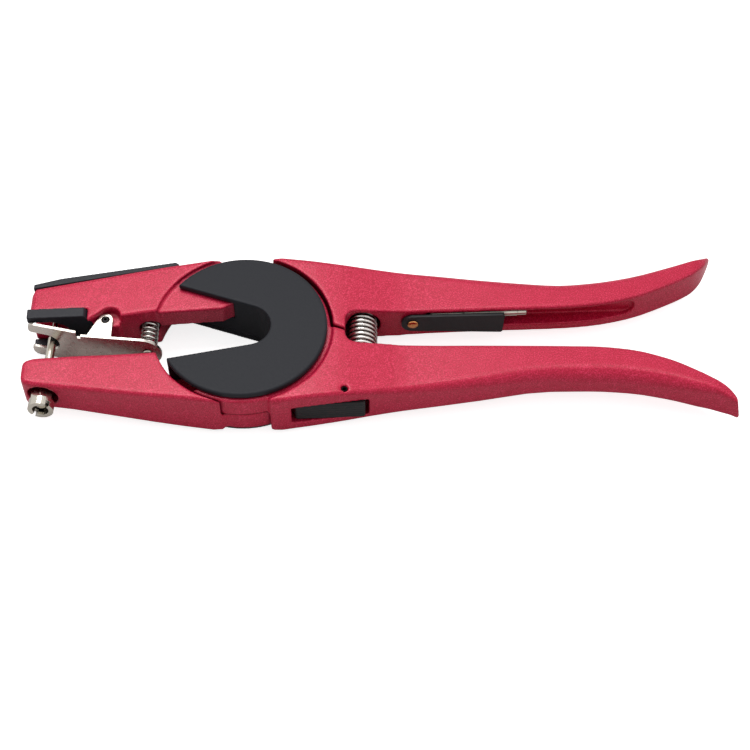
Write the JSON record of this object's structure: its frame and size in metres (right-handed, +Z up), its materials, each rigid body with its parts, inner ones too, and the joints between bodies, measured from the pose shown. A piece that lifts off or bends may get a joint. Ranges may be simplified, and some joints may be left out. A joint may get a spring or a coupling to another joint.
{
  "type": "ear tag applicator",
  "caption": "Hand pliers with a ring joint and a forked clip that press a two-piece livestock ear tag together over a pin.",
  "frame": {"origin": "centre of the bounding box's bottom face, under the tool lying flat on its back hub cover", "axes": "+X along the tool from the jaws to the handles' tips, +Y from the lower handle to the upper one, +Z up through the ring joint"},
  "size_m": [0.2444, 0.0673, 0.0212],
  "materials": {
    "red_paint": "fine textured metallic red over a light-alloy casting",
    "black_nylon": "fine matte texture",
    "black_rubber": "satin",
    "stainless": "polished sheet",
    "spring_steel": "bright wire",
    "nickel": "nickel plated",
    "copper": "dull copper"
  },
  "bodies": {
    "pin_lever": {"pin_lever_casting": "red_paint", "front_hub_cover": "black_nylon", "back_hub_cover": "black_nylon", "cover_screw_1": "nickel", "cover_screw_2": "nickel", "cover_screw_3": "nickel", "applicator_pin": "nickel", "pin_lock_nut": "nickel", "spare_pin": "nickel", "strap_rivet": "copper"},
    "anvil_lever": {"anvil_lever_casting": "red_paint", "tag_insert": "black_nylon", "clip_pivot_pin": "nickel", "lock_pivot_pin": "nickel", "handle_spring": "spring_steel", "clip_spring": "spring_steel", "lock_spring": "spring_steel"},
    "tag_clip": {"tag_clip": "stainless", "clip_spring_stud": "nickel"},
    "spare_pin_cover": {"spare_pin_cover": "black_rubber"},
    "lock_rocker": {"lock_rocker": "black_nylon"}
  },
  "joints": [
    {"name": "levers_hinge", "type": "hinge", "parent": "pin_lever", "child": "anvil_lever", "pos_m": [-0.0472, -0.0027, 0.0106], "axis": [0, 0, -1], "range_deg": [0, 26], "deforming": ["handle_spring"]},
    {"name": "clip_hinge", "type": "hinge", "parent": "anvil_lever", "child": "tag_clip", "pos_m": [-0.0953, 0.0023, 0.0106], "axis": [0, 0, 1], "range_deg": [0, 12], "stiffness_Nm_per_rad": 0.1, "springref_deg": -5.73, "deforming": ["clip_spring"]},
    {"name": "strap_hinge", "type": "hinge", "parent": "pin_lever", "child": "spare_pin_cover", "pos_m": [0.0114, 0.0058, 0.0118], "axis": [-0.04, 0.9992, 0], "range_deg": [-90, 0]},
    {"name": "lock_hinge", "type": "hinge", "parent": "anvil_lever", "child": "lock_rocker", "pos_m": [-0.0121, -0.0277, 0.0106], "axis": [0, 0, 1], "range_deg": [0, 5], "stiffness_Nm_per_rad": 0.02, "springref_deg": -5.73, "deforming": ["lock_spring"]}
  ]
}
